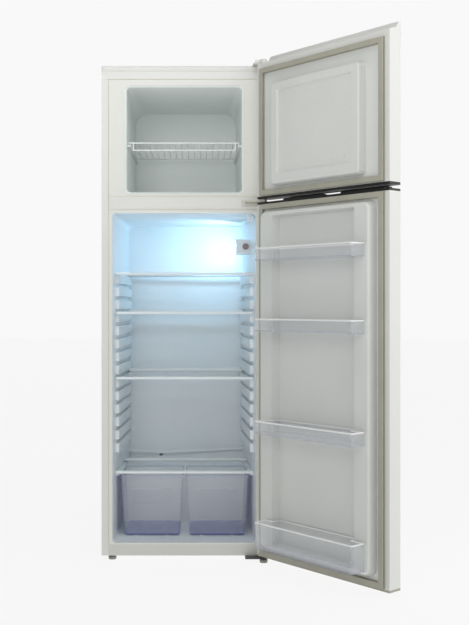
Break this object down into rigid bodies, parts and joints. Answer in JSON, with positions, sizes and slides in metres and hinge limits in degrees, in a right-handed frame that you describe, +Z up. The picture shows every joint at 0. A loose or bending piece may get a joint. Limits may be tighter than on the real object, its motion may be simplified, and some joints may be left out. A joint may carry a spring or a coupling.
{
  "type": "top freezer refrigerator",
  "caption": "Two-door refrigerator with a small freezer above a tall larder, glass shelves, crisper drawers and door bins.",
  "frame": {"origin": "on the floor, under the middle of the cabinet", "axes": "+Z up, -Y out of the cabinet's front, +X towards the hinges (the right-hand side seen from the front)"},
  "size_m": [0.9042, 0.9824, 1.6595],
  "materials": {
    "white_steel": "satin",
    "cabinet_liner": "satin",
    "door_liner": "satin",
    "cover_plastic": "satin",
    "grey_steel": "satin",
    "zinc_steel": "satin",
    "black_plastic": "satin",
    "black_steel": "satin",
    "foam": "matte",
    "pane_glass": "gloss",
    "trim_plastic": "gloss",
    "clear_plastic": "gloss",
    "gasket_rubber": "matte",
    "black_rubber": "matte",
    "foot_plastic": "satin",
    "bulb_glass": "gloss",
    "dial_plastic": "satin",
    "white_wire": "gloss",
    "copper": "satin",
    "aluminium_plate": "satin"
  },
  "bodies": {
    "cabinet": {"outer_shell": "white_steel", "mullion_cover": "white_steel", "middle_hinge": "white_steel", "freezer_liner": "cabinet_liner", "fridge_liner": "cabinet_liner", "lamp_housing": "cabinet_liner", "switch_housing": "cabinet_liner", "top_cover": "cover_plastic", "top_hinge_cover": "cover_plastic", "mullion_plugs": "cover_plastic", "base_pan": "grey_steel", "rear_panel": "zinc_steel", "compressor_plate": "zinc_steel", "top_hinge": "zinc_steel", "hinge_screws": "zinc_steel", "start_relay_box": "black_plastic", "drip_tray": "black_plastic", "bottom_hinge": "black_steel", "condenser": "black_steel", "compressor": "black_steel", "cabinet_foam": "foam", "drain_tube": "trim_plastic", "lamp_lens": "clear_plastic", "compressor_grommets": "black_rubber", "lamp_bulb": "bulb_glass", "refrigerant_pipes": "copper", "evaporator_plates": "aluminium_plate"},
    "freezer_door": {"freezer_door_skin": "white_steel", "freezer_door_foam": "foam", "freezer_door_liner": "door_liner", "freezer_door_gasket": "gasket_rubber", "freezer_door_top_cap": "cover_plastic", "freezer_door_bottom_cap": "black_plastic"},
    "fridge_door": {"fridge_door_skin": "white_steel", "fridge_door_foam": "foam", "fridge_door_liner": "door_liner", "fridge_door_gasket": "gasket_rubber", "fridge_door_top_cap": "black_plastic", "fridge_door_bottom_cap": "foot_plastic"},
    "bin_1": {"door_bin_1": "clear_plastic"},
    "bin_2": {"door_bin_2": "clear_plastic"},
    "bin_3": {"door_bin_3": "clear_plastic"},
    "bin_4": {"door_bin_4": "clear_plastic"},
    "shelf_1": {"shelf_1_glass": "pane_glass", "shelf_1_trim": "trim_plastic"},
    "shelf_2": {"shelf_2_glass": "pane_glass", "shelf_2_trim": "trim_plastic"},
    "shelf_3": {"shelf_3_glass": "pane_glass", "shelf_3_trim": "trim_plastic"},
    "crisper_cover": {"crisper_cover_glass": "pane_glass", "crisper_cover_trim": "trim_plastic"},
    "crisper_left": {"crisper_left": "clear_plastic"},
    "crisper_right": {"crisper_right": "clear_plastic"},
    "freezer_shelf": {"freezer_shelf": "white_wire"},
    "thermostat_dial": {"thermostat_dial": "dial_plastic"},
    "switch_plunger": {"switch_plunger": "cabinet_liner"},
    "foot_left": {"foot_left": "foot_plastic"},
    "foot_right": {"foot_right": "foot_plastic"},
    "roller_left": {"roller_left": "foot_plastic"},
    "roller_right": {"roller_right": "foot_plastic"}
  },
  "joints": [
    {"name": "freezer_door_swing", "type": "hinge", "parent": "cabinet", "child": "freezer_door", "pos_m": [0.2605, -0.283, 1.4], "axis": [0, 0, 1], "range_deg": [-130, 0]},
    {"name": "fridge_door_swing", "type": "hinge", "parent": "cabinet", "child": "fridge_door", "pos_m": [0.2605, -0.283, 0.6], "axis": [0, 0, 1], "range_deg": [-130, 0]},
    {"name": "bin_1_lift", "type": "slide", "parent": "fridge_door", "child": "bin_1", "axis": [0, 0, 1], "range_m": [0, 0.03]},
    {"name": "bin_2_lift", "type": "slide", "parent": "fridge_door", "child": "bin_2", "axis": [0, 0, 1], "range_m": [0, 0.03]},
    {"name": "bin_3_lift", "type": "slide", "parent": "fridge_door", "child": "bin_3", "axis": [0, 0, 1], "range_m": [0, 0.03]},
    {"name": "bin_4_lift", "type": "slide", "parent": "fridge_door", "child": "bin_4", "axis": [0, 0, 1], "range_m": [0, 0.03]},
    {"name": "shelf_1_slide", "type": "slide", "parent": "cabinet", "child": "shelf_1", "axis": [0, -1, 0], "range_m": [0, 0.15]},
    {"name": "shelf_2_slide", "type": "slide", "parent": "cabinet", "child": "shelf_2", "axis": [0, -1, 0], "range_m": [0, 0.15]},
    {"name": "shelf_3_slide", "type": "slide", "parent": "cabinet", "child": "shelf_3", "axis": [0, -1, 0], "range_m": [0, 0.15]},
    {"name": "crisper_cover_slide", "type": "slide", "parent": "cabinet", "child": "crisper_cover", "axis": [0, -1, 0], "range_m": [0, 0.12]},
    {"name": "crisper_left_slide", "type": "slide", "parent": "cabinet", "child": "crisper_left", "axis": [0, -1, 0], "range_m": [0, 0.17]},
    {"name": "crisper_right_slide", "type": "slide", "parent": "cabinet", "child": "crisper_right", "axis": [0, -1, 0], "range_m": [0, 0.17]},
    {"name": "freezer_shelf_slide", "type": "slide", "parent": "cabinet", "child": "freezer_shelf", "axis": [0, -1, 0], "range_m": [0, 0.2]},
    {"name": "thermostat_dial_turn", "type": "hinge", "parent": "cabinet", "child": "thermostat_dial", "pos_m": [0.21203, -0.06, 1.046], "axis": [0, 1, 0], "range_deg": [0, 280]},
    {"name": "switch_plunger_press", "type": "slide", "parent": "cabinet", "child": "switch_plunger", "axis": [0, 1, 0], "range_m": [0, 0.006], "stiffness_N_per_m": 150},
    {"name": "foot_left_turn", "type": "hinge", "parent": "cabinet", "child": "foot_left", "pos_m": [-0.238, -0.237, 0.01], "axis": [0, 0, 1], "continuous": true},
    {"name": "foot_right_turn", "type": "hinge", "parent": "cabinet", "child": "foot_right", "pos_m": [0.2605, -0.283, 0.005], "axis": [0, 0, 1], "continuous": true},
    {"name": "roller_left_spin", "type": "hinge", "parent": "cabinet", "child": "roller_left", "pos_m": [-0.2325, 0.221, 0.014], "axis": [1, 0, 0], "continuous": true},
    {"name": "roller_right_spin", "type": "hinge", "parent": "cabinet", "child": "roller_right", "pos_m": [0.2325, 0.221, 0.014], "axis": [1, 0, 0], "continuous": true}
  ]
}
